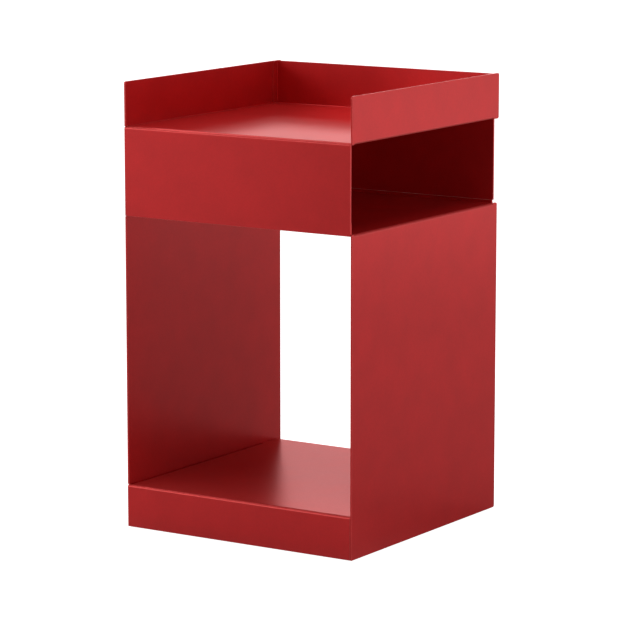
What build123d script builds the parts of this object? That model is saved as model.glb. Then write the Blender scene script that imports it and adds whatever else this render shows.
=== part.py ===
from build123d import *
import os

# Side table of folded sheet steel, powder-coated. An open-fronted tray sits over a pocket that opens
# to the right, and over a tall bay that is open at the front and the back and ends in a plinth.
# X runs to the right, Y from the front to the back and Z up. The origin is on the floor, midway
# across the width and midway along the tray's side rims.

# Sheet
sheet = 2.5              # thickness of every blank
bend_radius = 1.0        # inside radius of every fold
corner_radius = 3.0      # rounding of the free corners that a hand meets
return_flange = 15.0     # hidden flanges that carry the welds
seam = 0.5               # gap between two edges that meet at a corner

# Overall sizes
width = 355.0            # across the side panels
depth = 370.0            # length of the tray's side rims
height = 600.0           # floor to the top of the side rims

# The bay takes the height that these leave
rim_height = 59.0        # side rims above the tray's floor
pocket_height = 114.0    # clear height between the pocket's floor and the tray
plinth_height = 59.0     # floor of the room to the floor of the bay
foot_gap = 1.5           # floor of the room to the lower edges of the steel

# Setbacks from the rear ends of the side rims
panel_setback = 3.0      # side panels
back_inset = 10.5        # outer face of the back wall, the back rim and the rear apron

# Tray and pocket
rim_return = 12.0        # flanges folded forward from the back rim's ends, flat against the side rims
upstand_height = 4.0     # the pocket floor's rear upstand, which the back wall stands over
wall_gap = 0.2           # between the upstand and the back wall

# Feet
foot_plate_size = 38.0
foot_plate_flange = 22.0
foot_inset = 24.0        # glide's axis from the outer faces
glide_radius = 12.0
glide_head = 7.0         # floor of the room to the underside of the foot plate
glide_edge = 1.2         # rounding of the glide's lower edge
stem_radius = 4.0
stem_clearance = 0.1     # radial, between the stem and its hole
stem_length = 9.0        # above the underside of the foot plate
barb_height = 3.0        # tapered tip that snaps over the foot plate
barb_step = 0.8          # how far the tip's base stands out past the stem
slot_width = 2.0         # slot that lets the tip squeeze through the hole

# Worked-out places
half = sheet / 2
bend_out = bend_radius + sheet
fold_land = 40.0         # flat kept beside a fold where two folded lengths overlap
left = -width / 2
right = width / 2
front = -depth / 2
rim_end = depth / 2
panel_end = rim_end - panel_setback
back = rim_end - back_inset
fold_start = front + bend_out + seam     # the side folds begin here, clear of the front folds
fold_end = back - bend_out
tray_top = height - rim_height
tray_under = tray_top - sheet
tray_mid = tray_top - half
shelf_top = tray_under - pocket_height
shelf_under = shelf_top - sheet
shelf_mid = shelf_top - half
deck_mid = plinth_height - half
wall_low = shelf_top + upstand_height + wall_gap
inside = (left + sheet + bend_out + seam, right - bend_out - seam)   # clear of the folds at both sides


# The plane across an axis, at a place along it. A sketch on it is in Y and Z, X and Z, or X and Y.
def across(axis, place):
    if axis == "x":
        return Plane(origin=(place, 0, 0), x_dir=(0, 1, 0), z_dir=(1, 0, 0))
    if axis == "y":
        return Plane(origin=(0, place, 0), x_dir=(1, 0, 0), z_dir=(0, -1, 0))
    return Plane.XY.offset(place)


# A sketch drawn across an axis and pulled from low to high along it.
def pull(sketch, axis, low, high):
    start = high if axis == "y" else low
    return extrude(across(axis, start) * sketch, high - low)


# A strip folded along the line through the middle of the sheet, from low to high along an axis.
def folded(points, axis, low, high):
    line = FilletPolyline(*points, radius=bend_radius + half)
    return pull(trace(line, line_width=sheet), axis, low, high)


# A rectangle between two limits each way.
def area(first, second):
    centre = ((first[0] + first[1]) / 2, (second[0] + second[1]) / 2)
    return Pos(*centre) * Rectangle(first[1] - first[0], second[1] - second[0])


# A flat blank across an axis. rounded lists corners to round, and windows are areas left out for a fold
# or for the edge of another sheet.
def plate(axis, low, first, second, rounded=(), windows=()):
    outline = area(first, second)
    for corner in rounded:
        nearest = outline.vertices().sort_by_distance((*corner, 0))[0]
        outline = fillet(nearest, corner_radius)
    for window in windows:
        outline -= area(*window)
    return pull(outline, axis, low, low + sheet)


def save(name, shape):
    shape.label = name
    export_step(shape, f"parts/{name}.step")
    print(name, round(shape.volume))


# One blank: a floor with a rim folded up at the left, right and back and a long panel folded down at
# the front. The panel laps over the left side's front edge and stops inside the right one. The side
# rims run past the back rim and end in rounded corners, and the back rim turns forward along them.
def top_tray():
    land_top = tray_mid + fold_land
    rim_line = [(left + half, land_top), (left + half, tray_mid), (right - half, tray_mid),
                (right - half, land_top)]
    tray = folded(rim_line, "y", fold_start, fold_end)
    corners = [(front, height), (rim_end, height), (rim_end, tray_under)]
    side_fold = ((fold_start, fold_end), (tray_under, tray_under + bend_out))
    over_panel = ((front, fold_start), (tray_under, tray_top))
    tray += plate("x", left, (front, rim_end), (tray_under, height), corners, [side_fold, over_panel])
    tray += plate("x", right - sheet, (front, rim_end), (tray_under, height), corners, [side_fold])
    span = (left, right - sheet - seam)
    panel_top = [(front + half, tray_mid - fold_land), (front + half, tray_mid)]
    tray += folded([*panel_top, (fold_start, tray_mid)], "x", *span)
    tray += folded([*panel_top, (front + fold_land, tray_mid)], "x", *inside)
    tray += plate("y", front, span, (shelf_under, tray_under - bend_radius))
    rim_fold = [(fold_end - fold_land, tray_mid), (back - half, tray_mid), (back - half, land_top)]
    tray += folded(rim_fold, "x", *inside)
    corner_fold = [(fold_end - seam, tray_mid), *rim_fold[1:]]
    tray += folded(corner_fold, "x", left + sheet, right - sheet)
    faces = (left + sheet + half, right - sheet - half)
    returns = [(faces[0], back - rim_return), (faces[0], back - half), (faces[1], back - half),
               (faces[1], back - rim_return)]
    tray += folded(returns, "z", tray_top + bend_radius, height)
    for low in (left + sheet, right - 2 * sheet):    # the returns stand on the floor
        tray += plate("x", low, (back - rim_return, fold_end), (tray_mid, tray_top + bend_radius))
    return tray


# One blank: the pocket's floor, folded down into the whole lower right side, up into a low upstand at
# the back, and up into short weld flanges at the front and the left.
def shelf_and_right_side():
    left_face = left + sheet + half
    shelf_line = [(left_face, shelf_mid + return_flange), (left_face, shelf_mid), (right - half, shelf_mid),
                  (right - half, shelf_mid - fold_land)]
    piece = folded(shelf_line, "y", fold_start, fold_end)
    corners = [(panel_end, shelf_top), (panel_end, foot_gap)]
    side_fold = ((fold_start, fold_end), (shelf_top - bend_out, shelf_top))
    piece += plate("x", right - sheet, (front, panel_end), (foot_gap, shelf_top), corners, [side_fold])
    front_face = front + sheet + half
    front_fold = [(front_face, shelf_mid + return_flange), (front_face, shelf_mid),
                  (front + fold_land, shelf_mid)]
    piece += folded(front_fold, "x", *inside)
    upstand = [(back - half, shelf_mid), (back - half, shelf_top + upstand_height)]
    piece += folded([(back - fold_land, shelf_mid), *upstand], "x", *inside)
    piece += folded([(fold_end - seam, shelf_mid), *upstand], "x", inside[1] - seam, right - sheet)
    return piece


# The pocket's back wall stands over the upstand, with a weld flange under the tray's floor and one
# along the left side.
def back_wall():
    top_mid = tray_under - half
    top_span = (left + sheet + return_flange + seam, right - return_flange)
    wall = folded([(back - half, top_mid - fold_land), (back - half, top_mid),
                   (back - return_flange, top_mid)], "x", *top_span)
    left_face = left + sheet + half
    left_span = (shelf_mid + return_flange + seam, tray_under - bend_out - seam)
    wall += folded([(left_face, back - return_flange), (left_face, back - half),
                    (left + fold_land, back - half)], "z", *left_span)
    top_fold = (top_span, (tray_under - bend_out, tray_under))
    left_fold = ((left + sheet, left + sheet + bend_out), left_span)
    wall += plate("y", back - sheet, (left + sheet, right - seam), (wall_low, tray_under),
                  windows=[top_fold, left_fold])
    return wall


# The full-height left side, with a flange under the tray's floor. Its front edge steps back behind the
# tray's front panel and the front apron, and a little more behind their folds.
def left_side_panel():
    top_mid = tray_under - half
    flange_line = [(left + half, top_mid - fold_land), (left + half, top_mid), (left + return_flange, top_mid)]
    panel = folded(flange_line, "y", fold_start + seam, fold_end)
    corners = [(panel_end, tray_under), (panel_end, foot_gap)]
    behind = (front, front + sheet)
    behind_fold = (front, fold_start + seam)
    windows = [((fold_start + seam, fold_end), (tray_under - bend_out, tray_under)),
               (behind, (shelf_under - seam, tray_under)),
               (behind_fold, (tray_under - bend_radius - seam, tray_under)),
               (behind, (foot_gap, plinth_height + seam)),
               (behind_fold, (plinth_height - bend_out - seam, plinth_height + seam))]
    return panel + plate("x", left, (front, panel_end), (foot_gap, tray_under), corners, windows)


# The bay's floor, folded down all round: front and rear aprons to the ground, short flanges at the
# sides. The front apron laps over the left side's front edge, as the tray's front panel does.
def base_deck():
    sides = (left + sheet + half, right - sheet - half)
    deck_line = [(sides[0], deck_mid - return_flange), (sides[0], deck_mid), (sides[1], deck_mid),
                 (sides[1], deck_mid - return_flange)]
    deck = folded(deck_line, "y", fold_start, fold_end)
    apron = [(front + half, foot_gap), (front + half, deck_mid)]
    deck += folded([*apron, (fold_start, deck_mid)], "x", left, right - sheet - seam)
    deck += folded([*apron, (front + fold_land, deck_mid)], "x", *inside)
    deck += folded([(back - fold_land, deck_mid), (back - half, deck_mid), (back - half, foot_gap)], "x",
                   left + sheet + seam, right - sheet - seam)
    return deck


# The glide's axis in one corner. side is -1 or 1 for left or right, end is 1 for the front.
def foot_axis(side, end):
    return side * (width / 2 - foot_inset), front + foot_inset if end else back - foot_inset


# A bracket welded to the inside of a side panel, with the hole for one glide.
def foot_plate(side, end):
    x, y = foot_axis(side, end)
    face = side * (width / 2 - sheet)
    wall = face - side * half
    mid = glide_head + half
    line = [(wall, glide_head + foot_plate_flange), (wall, mid), (face - side * foot_plate_size, mid)]
    bracket = folded(line, "y", y - foot_plate_size / 2, y + foot_plate_size / 2)
    return bracket - Pos(x, y, mid) * Cylinder(stem_radius + stem_clearance, 2 * sheet)


# A push-in plastic glide: a round head on the floor and a slotted stem that snaps through the foot plate.
def glide(side, end):
    x, y = foot_axis(side, end)
    low_end = (Align.CENTER, Align.CENTER, Align.MIN)
    head = Cylinder(glide_radius, glide_head, align=low_end)
    head = fillet(head.edges().group_by(Axis.Z)[0], glide_edge)
    stem = Pos(0, 0, glide_head) * Cylinder(stem_radius, stem_length, align=low_end)
    barb_radius = stem_radius + barb_step
    barb_place = Pos(0, 0, glide_head + stem_length - barb_height)
    barb = barb_place * Cone(barb_radius, stem_radius * 0.7, barb_height, align=low_end)
    slot_place = Pos(0, 0, glide_head + sheet)
    slot = slot_place * Box(slot_width, 2 * barb_radius + slot_width, stem_length, align=low_end)
    return Pos(x, y, 0) * (head + stem + barb - slot)


os.makedirs("parts", exist_ok=True)
save("top_tray", top_tray())
save("shelf_and_right_side", shelf_and_right_side())
save("back_wall", back_wall())
save("left_side_panel", left_side_panel())
save("base_deck", base_deck())
for end_name, end in (("front", 1), ("rear", 0)):
    for side_name, side in (("left", -1), ("right", 1)):
        save(f"foot_plate_{end_name}_{side_name}", foot_plate(side, end))
        save(f"glide_{end_name}_{side_name}", glide(side, end))
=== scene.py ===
from math import cos, pi, radians, sin

import bmesh
import bpy
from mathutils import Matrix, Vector


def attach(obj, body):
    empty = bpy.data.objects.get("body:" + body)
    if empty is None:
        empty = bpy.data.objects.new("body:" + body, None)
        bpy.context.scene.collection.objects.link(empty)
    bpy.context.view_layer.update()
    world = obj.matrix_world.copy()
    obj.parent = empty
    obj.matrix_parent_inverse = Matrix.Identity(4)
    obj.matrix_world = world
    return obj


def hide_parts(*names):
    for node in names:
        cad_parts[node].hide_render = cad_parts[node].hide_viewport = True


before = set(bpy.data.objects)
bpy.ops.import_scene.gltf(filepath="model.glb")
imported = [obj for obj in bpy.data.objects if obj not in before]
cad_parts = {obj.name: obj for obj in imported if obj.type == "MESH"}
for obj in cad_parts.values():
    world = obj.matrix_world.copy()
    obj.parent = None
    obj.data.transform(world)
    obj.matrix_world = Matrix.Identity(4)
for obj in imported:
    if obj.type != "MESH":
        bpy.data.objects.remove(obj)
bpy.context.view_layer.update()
print("frame loaded")

# Camera: a long lens, a little above the table, off its front right corner
cameraSet = {
    "lens": 188.66,          # millimetres, as the sensor's width is
    "sensor": 36.0,
    "place": (2.3635, -3.6467, 1.0257),
    "tilt": 80.294,          # degrees up from looking straight down
    "turn": 32.975,          # degrees from looking square at the front
    "nearest": 0.1,
    "furthest": 100.0,
}
camera = bpy.data.objects.new("camera", bpy.data.cameras.new("camera"))
bpy.context.scene.collection.objects.link(camera)
camera.data.lens = cameraSet["lens"]
camera.data.sensor_width = cameraSet["sensor"]
camera.location = cameraSet["place"]
camera.rotation_euler = (radians(cameraSet["tilt"]), 0.0, radians(cameraSet["turn"]))
camera.data.clip_start = cameraSet["nearest"]
camera.data.clip_end = cameraSet["furthest"]
bpy.context.scene.camera = camera
bpy.context.scene.view_settings.view_transform = "Standard"
print("camera set")


# A material with an empty node tree
def newMaterial(name):
    material = bpy.data.materials.new(name)
    material.use_nodes = True
    material.node_tree.nodes.clear()
    return material, material.node_tree.nodes, material.node_tree.links


# One calculation on two inputs, each a socket or a number
def maths(tree, operation, first, second=0.0):
    node = tree.nodes.new("ShaderNodeMath")
    node.operation = operation
    for socket, value in zip(node.inputs, (first, second)):
        if isinstance(value, (int, float)):
            socket.default_value = value
        else:
            tree.links.new(value, socket)
    return node.outputs[0]


# A value eased from 0 to 1 as it goes from low to high
def eased(tree, value, low, high):
    node = tree.nodes.new("ShaderNodeMapRange")
    node.interpolation_type = "SMOOTHSTEP"
    tree.links.new(value, node.inputs["Value"])
    node.inputs["From Min"].default_value = low
    node.inputs["From Max"].default_value = high
    return node.outputs["Result"]


# A colour mixed towards another by a mask. The second is a socket or four numbers.
def mixed(tree, mask, first, second):
    node = tree.nodes.new("ShaderNodeMix")
    node.data_type = "RGBA"
    tree.links.new(mask, node.inputs["Factor"])
    tree.links.new(first, node.inputs[6])
    if isinstance(second, tuple):
        node.inputs[7].default_value = second
    else:
        tree.links.new(second, node.inputs[7])
    return node.outputs[2]


# Studio: a white floor, soft boxes all round, and a dim white surround
studioSet = {
    "floorRadius": 30.0,
    "floorSides": 96,
    "floorAlbedo": 0.5,
    "floorGlow": 1.0,
    "mirrorRear": 0.55,      # how bright the floor looks in the coat, far behind the table
    "mirrorFront": 0.2,      # and in front of it
    "frontToRear": (-0.3, 0.1),    # where the one goes over into the other, in metres from the middle
    "shadeNear": 0.3,        # behind the table its shade fades out between these distances
    "shadeFar": 4.0,
    "surround": 0.09,
    "aim": (0.0, 0.0, 0.35),
    # turn from the front and height angle in degrees, distance, width and height in metres, radiance
    "lights": {
        "rearPanelLow": (218.0, 13.0, 10.0, 7.28, 0.70, 3.43),
        "rearPanelHigh": (218.0, 18.5, 10.0, 7.28, 1.22, 1.26),
        "leftWindow": (270.0, 35.0, 10.0, 9.33, 3.53, 1.64),
        "cornerStrip": (318.0, 5.5, 10.0, 8.28, 1.57, 0.46),
        "cornerPanel": (318.0, 17.5, 10.0, 8.28, 2.63, 2.64),
        "rightStrip": (90.0, 6.5, 10.0, 11.55, 1.93, 1.36),
        "ceiling": (0.0, 90.0, 10.0, 9.33, 9.33, 1.22),
        "cornerFill": (315.0, 12.0, 1.5, 1.0, 1.0, 0.54),
        "rightFill": (90.0, 12.0, 1.5, 1.0, 1.0, 1.67),
        "rearRightFill": (135.0, 12.0, 1.5, 1.0, 1.0, 0.51),
        "leftFill": (270.0, 45.0, 1.5, 1.0, 1.0, 1.97),
        "topFill": (0.0, 90.0, 1.5, 1.0, 1.0, 1.26),
    },
}


# The floor glows for the camera, which sees it white, and for the coat, which mirrors it
def makeFloor():
    mesh = bpy.data.meshes.new("floor")
    bm = bmesh.new()
    bmesh.ops.create_circle(bm, cap_ends=True, segments=studioSet["floorSides"],
                            radius=studioSet["floorRadius"])
    bm.to_mesh(mesh)
    bm.free()
    floor = bpy.data.objects.new("floor", mesh)
    bpy.context.scene.collection.objects.link(floor)
    material, nodes, links = newMaterial("paleFloor")
    tree = material.node_tree
    out = nodes.new("ShaderNodeOutputMaterial")
    matt = nodes.new("ShaderNodeBsdfDiffuse")
    albedo = studioSet["floorAlbedo"]
    matt.inputs["Color"].default_value = (albedo, albedo, albedo, 1.0)
    glow = nodes.new("ShaderNodeEmission")
    path = nodes.new("ShaderNodeLightPath")
    place = nodes.new("ShaderNodeTexCoord")
    reach = nodes.new("ShaderNodeVectorMath")
    reach.operation = "LENGTH"
    links.new(place.outputs["Object"], reach.inputs[0])
    split = nodes.new("ShaderNodeSeparateXYZ")
    links.new(place.outputs["Object"], split.inputs[0])
    rear = eased(tree, split.outputs["Y"], *studioSet["frontToRear"])
    shade = eased(tree, reach.outputs["Value"], studioSet["shadeNear"], studioSet["shadeFar"])
    behind = maths(tree, "MULTIPLY", maths(tree, "MULTIPLY", rear, shade), studioSet["mirrorRear"])
    before = maths(tree, "MULTIPLY", maths(tree, "SUBTRACT", 1.0, rear), studioSet["mirrorFront"])
    mirrored = maths(tree, "MULTIPLY", path.outputs["Is Glossy Ray"], maths(tree, "ADD", behind, before))
    seen = maths(tree, "MULTIPLY", path.outputs["Is Camera Ray"], studioSet["floorGlow"])
    links.new(maths(tree, "ADD", mirrored, seen), glow.inputs["Strength"])
    add = nodes.new("ShaderNodeAddShader")
    links.new(matt.outputs[0], add.inputs[0])
    links.new(glow.outputs[0], add.inputs[1])
    links.new(add.outputs[0], out.inputs["Surface"])
    mesh.materials.append(material)


# A soft box that faces the aim from its distance. The coat mirrors it, and the camera doesn't see it.
def makeLight(name, turn, rise, distance, wide, high, radiance):
    data = bpy.data.lights.new(name, "AREA")
    data.shape = "RECTANGLE"
    data.size, data.size_y = wide, high
    data.energy = radiance * pi * wide * high
    light = bpy.data.objects.new(name, data)
    bpy.context.scene.collection.objects.link(light)
    turn, rise = radians(turn), radians(rise)
    way = Vector((sin(turn) * cos(rise), -cos(turn) * cos(rise), sin(rise)))
    light.location = Vector(studioSet["aim"]) + way * distance
    light.rotation_euler = way.to_track_quat("Z", "Y").to_euler()
    light.visible_camera = False


# The surround is white to look at and dim as a light
def makeSurround():
    world = bpy.data.worlds.new("surround")
    bpy.context.scene.world = world
    world.use_nodes = True
    tree = world.node_tree
    path = tree.nodes.new("ShaderNodeLightPath")
    extra = maths(tree, "MULTIPLY", path.outputs["Is Camera Ray"], 1.0 - studioSet["surround"])
    background = tree.nodes["Background"]
    background.inputs["Color"].default_value = (1.0, 1.0, 1.0, 1.0)
    tree.links.new(maths(tree, "ADD", extra, studioSet["surround"]), background.inputs["Strength"])


makeFloor()
for name, values in studioSet["lights"].items():
    makeLight(name, *values)
makeSurround()
print("studio set")


# What each effect's noise is like on every finish: its octaves, roughness and waves per metre
effectSet = {
    "fineDetail": 2.0,
    "cloudDetail": 3.0,
    "waveDetail": 1.0,
    "grainDetail": 2.0,
    "wearAndHighlightDetail": 4.0,
    "wearAndHighlightRoughness": 0.65,
    "unmarkedSpots": (0.35, 0.65),    # the noise values where a gap in the painted edge highlight and wear begins and is full
    "dustScale": 60.0,
    "dustDetail": 5.0,
    "dustRoughness": 0.6,
}


# An effect that both finishes use: an empty node group with its sockets
def newGroup(name, inputs, outputs):
    tree = bpy.data.node_groups.new(name, "ShaderNodeTree")
    for socketName, socketType, value in inputs:
        socket = tree.interface.new_socket(socketName, in_out="INPUT", socket_type=socketType)
        if value is not None:
            socket.default_value = value
    for socketName, socketType in outputs:
        tree.interface.new_socket(socketName, in_out="OUTPUT", socket_type=socketType)
    return tree, tree.nodes.new("NodeGroupInput"), tree.nodes.new("NodeGroupOutput")


# Noise on the object's own coordinates, in waves per metre
def noiseAt(tree, scale, detail, roughness=0.5):
    place = tree.nodes.new("ShaderNodeTexCoord")
    noise = tree.nodes.new("ShaderNodeTexNoise")
    tree.links.new(place.outputs["Object"], noise.inputs["Vector"])
    noise.inputs["Detail"].default_value = detail
    noise.inputs["Roughness"].default_value = roughness
    if isinstance(scale, (int, float)):
        noise.inputs["Scale"].default_value = scale
    else:
        tree.links.new(scale, noise.inputs["Scale"])
    return noise.outputs["Fac"]


# Fine mottling of a colour, with slow clouds under it
def makeMottleGroup():
    tree, inlet, outlet = newGroup("mottle", [
        ("Colour", "NodeSocketColor", None), ("Fine", "NodeSocketFloat", 0.1),
        ("Clouds", "NodeSocketFloat", 0.1), ("Fine Scale", "NodeSocketFloat", 900.0),
        ("Cloud Scale", "NodeSocketFloat", 14.0)],
        [("Colour", "NodeSocketColor"), ("Value", "NodeSocketFloat")])
    parts = []
    for scaleName, amountName, detailName in (("Fine Scale", "Fine", "fineDetail"),
                                              ("Cloud Scale", "Clouds", "cloudDetail")):
        noise = noiseAt(tree, inlet.outputs[scaleName], effectSet[detailName])
        centred = maths(tree, "SUBTRACT", noise, 0.5)
        parts.append(maths(tree, "MULTIPLY", centred, inlet.outputs[amountName]))
    value = maths(tree, "ADD", maths(tree, "ADD", *parts), 1.0)
    tone = tree.nodes.new("ShaderNodeHueSaturation")
    tree.links.new(value, tone.inputs["Value"])
    tree.links.new(inlet.outputs["Colour"], tone.inputs["Color"])
    tree.links.new(tone.outputs[0], outlet.inputs["Colour"])
    tree.links.new(value, outlet.inputs["Value"])
    return tree


# The fine skin of a sprayed or moulded surface, as a height in metres
def makeSkinGroup():
    tree, inlet, outlet = newGroup("skin", [
        ("Wave Height", "NodeSocketFloat", 4e-6), ("Wave Scale", "NodeSocketFloat", 450.0),
        ("Grain Height", "NodeSocketFloat", 1e-6), ("Grain Scale", "NodeSocketFloat", 2500.0)],
        [("Height", "NodeSocketFloat")])
    parts = []
    for kind in ("Wave", "Grain"):
        noise = noiseAt(tree, inlet.outputs[kind + " Scale"], effectSet[kind.lower() + "Detail"])
        parts.append(maths(tree, "MULTIPLY", noise, inlet.outputs[kind + " Height"]))
    tree.links.new(maths(tree, "ADD", *parts), outlet.inputs["Height"])
    return tree


# Painted highlight and thin coat on cut edges and the outside of folds: the piece's own edge mask, broken
# up by noise
def makeEdgeWearAndHighlightGroup():
    tree, inlet, outlet = newGroup("edgeWearAndHighlight", [
        ("Amount", "NodeSocketFloat", 0.5), ("Break Up", "NodeSocketFloat", 0.6),
        ("Scale", "NodeSocketFloat", 260.0)], [("Mask", "NodeSocketFloat")])
    edge = tree.nodes.new("ShaderNodeAttribute")
    edge.attribute_name = "edge"
    noise = noiseAt(tree, inlet.outputs["Scale"], effectSet["wearAndHighlightDetail"], effectSet["wearAndHighlightRoughness"])
    unmarked = eased(tree, noise, *effectSet["unmarkedSpots"])
    kept = maths(tree, "SUBTRACT", 1.0, maths(tree, "MULTIPLY", unmarked, inlet.outputs["Break Up"]))
    thinAndLit = maths(tree, "MULTIPLY", edge.outputs["Fac"], kept)
    wornAndLit = maths(tree, "MULTIPLY", thinAndLit, inlet.outputs["Amount"])
    tree.links.new(wornAndLit, outlet.inputs["Mask"])
    return tree


# A thin film of dust that gathers near the floor
def makeDustGroup():
    tree, inlet, outlet = newGroup("dust", [
        ("Colour", "NodeSocketColor", None), ("Dust Colour", "NodeSocketColor", None),
        ("Amount", "NodeSocketFloat", 0.1), ("Height", "NodeSocketFloat", 0.03)],
        [("Colour", "NodeSocketColor"), ("Mask", "NodeSocketFloat")])
    place = tree.nodes.new("ShaderNodeTexCoord")
    split = tree.nodes.new("ShaderNodeSeparateXYZ")
    tree.links.new(place.outputs["Object"], split.inputs[0])
    low = maths(tree, "SUBTRACT", 1.0, maths(tree, "DIVIDE", split.outputs["Z"], inlet.outputs["Height"]))
    low = maths(tree, "MAXIMUM", low, 0.0)
    noise = noiseAt(tree, effectSet["dustScale"], effectSet["dustDetail"], effectSet["dustRoughness"])
    film = maths(tree, "MULTIPLY", low, noise)
    mask = maths(tree, "MULTIPLY", film, inlet.outputs["Amount"])
    dusty = mixed(tree, mask, inlet.outputs["Colour"], inlet.outputs["Dust Colour"])
    tree.links.new(dusty, outlet.inputs["Colour"])
    tree.links.new(mask, outlet.inputs["Mask"])
    return tree


mottleGroup = makeMottleGroup()
skinGroup = makeSkinGroup()
edgeWearAndHighlightGroup = makeEdgeWearAndHighlightGroup()
dustGroup = makeDustGroup()
print("finish groups made")


# A group placed in a material with its own values, each a number, a colour or a socket
def placed(tree, group, values):
    node = tree.nodes.new("ShaderNodeGroup")
    node.node_tree = group
    for name, value in values.items():
        if isinstance(value, bpy.types.NodeSocket):
            tree.links.new(value, node.inputs[name])
        else:
            node.inputs[name].default_value = value
    return node


# A finish made of the four groups: mottled colour, edges painted lighter as a painted highlight with a
# thin coat, dust and the skin's bump
def makeFinish(name, values):
    material, nodes, links = newMaterial(name)
    tree = material.node_tree
    out = nodes.new("ShaderNodeOutputMaterial")
    shader = nodes.new("ShaderNodeBsdfPrincipled")
    tone = placed(tree, mottleGroup, {"Colour": values["colour"], **values["mottle"]})
    wearAndHighlight = placed(tree, edgeWearAndHighlightGroup, values["wearAndHighlight"])
    # Edges and fold outsides mixed towards the lighter edge colour: a painted highlight, with the thin
    # coat and wear there
    edged = mixed(tree, wearAndHighlight.outputs["Mask"], tone.outputs["Colour"], values["edgeWearAndHighlightColour"])
    dust = placed(tree, dustGroup, {"Colour": edged, **values["dust"]})
    links.new(dust.outputs["Colour"], shader.inputs["Base Color"])
    mottling = maths(tree, "SUBTRACT", tone.outputs["Value"], 1.0)
    spread = maths(tree, "MULTIPLY", mottling, values["roughnessSpread"])
    rough = maths(tree, "ADD", maths(tree, "ADD", spread, values["roughness"]), dust.outputs["Mask"])
    links.new(rough, shader.inputs["Roughness"])
    skin = placed(tree, skinGroup, values["skin"])
    bump = nodes.new("ShaderNodeBump")
    bump.inputs["Strength"].default_value = 1.0
    bump.inputs["Distance"].default_value = 1.0
    links.new(skin.outputs["Height"], bump.inputs["Height"])
    links.new(bump.outputs[0], shader.inputs["Normal"])
    for socketName, value in values["shader"].items():
        shader.inputs[socketName].default_value = value
    links.new(shader.outputs[0], out.inputs["Surface"])
    return material


# Red powder coat
coatSet = {
    "colour": (0.6, 0.017, 0.018, 1.0),
    # Lighter, pinker edge colour: a painted highlight along cut edges and folds, with the thin coat there
    "edgeWearAndHighlightColour": (0.8, 0.13, 0.12, 1.0),
    "roughness": 0.30,
    "roughnessSpread": 0.12,
    "shader": {"Metallic": 0.4, "Specular Tint": (1.0, 0.35, 0.35, 1.0), "IOR": 1.8},
    "mottle": {"Fine": 0.16, "Clouds": 0.26, "Fine Scale": 420.0, "Cloud Scale": 24.0},
    "wearAndHighlight": {"Amount": 0.7, "Break Up": 0.35, "Scale": 240.0},
    "dust": {"Dust Colour": (0.35, 0.25, 0.23, 1.0), "Amount": 0.06, "Height": 0.02},
    "skin": {"Wave Height": 2.2e-6, "Wave Scale": 330.0, "Grain Height": 6e-7, "Grain Scale": 1900.0},
}

# Black plastic of the glides
glideSet = {
    "colour": (0.022, 0.022, 0.024, 1.0),
    # Lighter grey edge colour: a painted highlight on the glides' rounded faces and edges, with wear
    "edgeWearAndHighlightColour": (0.06, 0.06, 0.062, 1.0),
    "roughness": 0.48,
    "roughnessSpread": 0.4,
    "shader": {"Metallic": 0.0, "IOR": 1.5},
    "mottle": {"Fine": 0.2, "Clouds": 0.1, "Fine Scale": 1200.0, "Cloud Scale": 60.0},
    "wearAndHighlight": {"Amount": 0.6, "Break Up": 0.5, "Scale": 500.0},
    "dust": {"Dust Colour": (0.3, 0.28, 0.26, 1.0), "Amount": 0.35, "Height": 0.004},
    "skin": {"Wave Height": 2e-6, "Wave Scale": 800.0, "Grain Height": 2e-6, "Grain Scale": 3500.0},
}
coat = makeFinish("redPowderCoat", coatSet)
plastic = makeFinish("glidePlastic", glideSet)
print("finishes made")

# Every piece is its own node's mesh, merged and smoothly shaded. The steel's cut edges are rounded by the
# coat, and the glides keep their moulded edges.
meshSet = {
    "weld": 1e-6,            # points this close are one
    "flat": 0.5,             # degrees under which two faces are one plane
    "cut": 35.0,             # degrees over which an edge is a cut edge
    "shortest": {"sheet": 0.0007, "plate": 0.0012},    # shorter edges are the facets of an arc
    "edgeRadius": 0.00035,
    "steps": 2,              # faces across a rounded edge
    "crease": 30.0,          # degrees over which shading breaks
    "facet": 3.0,            # degrees over which two smooth faces are facets of a fold
    "foldWearAndHighlight": 0.45,        # how strongly the outside of a fold is painted lighter, a painted highlight with a thinner coat, from 0 to a cut edge's 1
}


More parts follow.
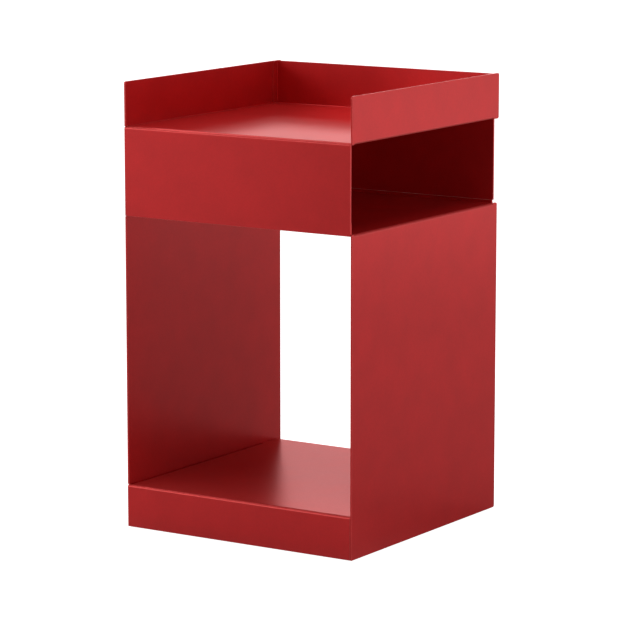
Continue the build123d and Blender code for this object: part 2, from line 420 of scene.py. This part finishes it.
# The piece that stands for a node. Its kind is sheet or plate, whose edges are rounded, or moulded.
def finished(name, pieceName, kind, material):
    bm = bmesh.new()
    bm.from_mesh(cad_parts[name].data)
    bmesh.ops.remove_doubles(bm, verts=bm.verts, dist=meshSet["weld"])
    bmesh.ops.dissolve_limit(bm, angle_limit=radians(meshSet["flat"]), verts=bm.verts, edges=bm.edges)
    edgeMask = bm.faces.layers.float.new("edge")
    facet, cutAngle, crease = (radians(meshSet[key]) for key in ("facet", "cut", "crease"))
    # Faces on the outside of a fold are marked for the lighter edge colour: a painted highlight along the
    # fold
    bends = {e for e in bm.edges if e.is_manifold and facet < e.calc_face_angle_signed() < crease}
    for face in bm.faces:
        if sum(edge in bends for edge in face.edges) > 1:
            face[edgeMask] = meshSet["foldWearAndHighlight"]
    if kind in meshSet["shortest"]:
        cut = [e for e in bm.edges if e.is_manifold and e.calc_face_angle() > cutAngle
               and e.calc_length() > meshSet["shortest"][kind]]
        made = bmesh.ops.bevel(bm, geom=cut, affect="EDGES", offset=meshSet["edgeRadius"],
                               offset_type="OFFSET", segments=meshSet["steps"], profile=0.5,
                               material=-1, clamp_overlap=False)
        # Rounded cut edges are marked for the lighter edge colour: a painted highlight with the thin coat
        # there
        for face in made["faces"]:
            face[edgeMask] = 1.0
        bmesh.ops.remove_doubles(bm, verts=bm.verts, dist=meshSet["weld"])
    for face in bm.faces:
        face.smooth = True
    for edge in bm.edges:
        edge.smooth = edge.is_manifold and edge.calc_face_angle() < crease
    mesh = bpy.data.meshes.new(pieceName)
    bm.to_mesh(mesh)
    bm.free()
    mesh.materials.append(material)
    piece = bpy.data.objects.new(pieceName, mesh)
    bpy.context.scene.collection.objects.link(piece)
    shading = piece.modifiers.new("flatFaces", "WEIGHTED_NORMAL")
    shading.keep_sharp = True
    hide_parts(name)
    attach(piece, "root")


sheetPieces = {
    "top_tray": "tray",
    "shelf_and_right_side": "shelfAndRightSide",
    "back_wall": "backWall",
    "left_side_panel": "leftSide",
    "base_deck": "baseDeck",
}
for node, pieceName in sheetPieces.items():
    finished(node, pieceName, "sheet", coat)
print("sheet pieces made")
for end in ("front", "rear"):
    for side in ("left", "right"):
        corner = end.title() + side.title()
        finished(f"foot_plate_{end}_{side}", "footPlate" + corner, "plate", coat)
        finished(f"glide_{end}_{side}", "glide" + corner, "moulded", plastic)
print("feet made")
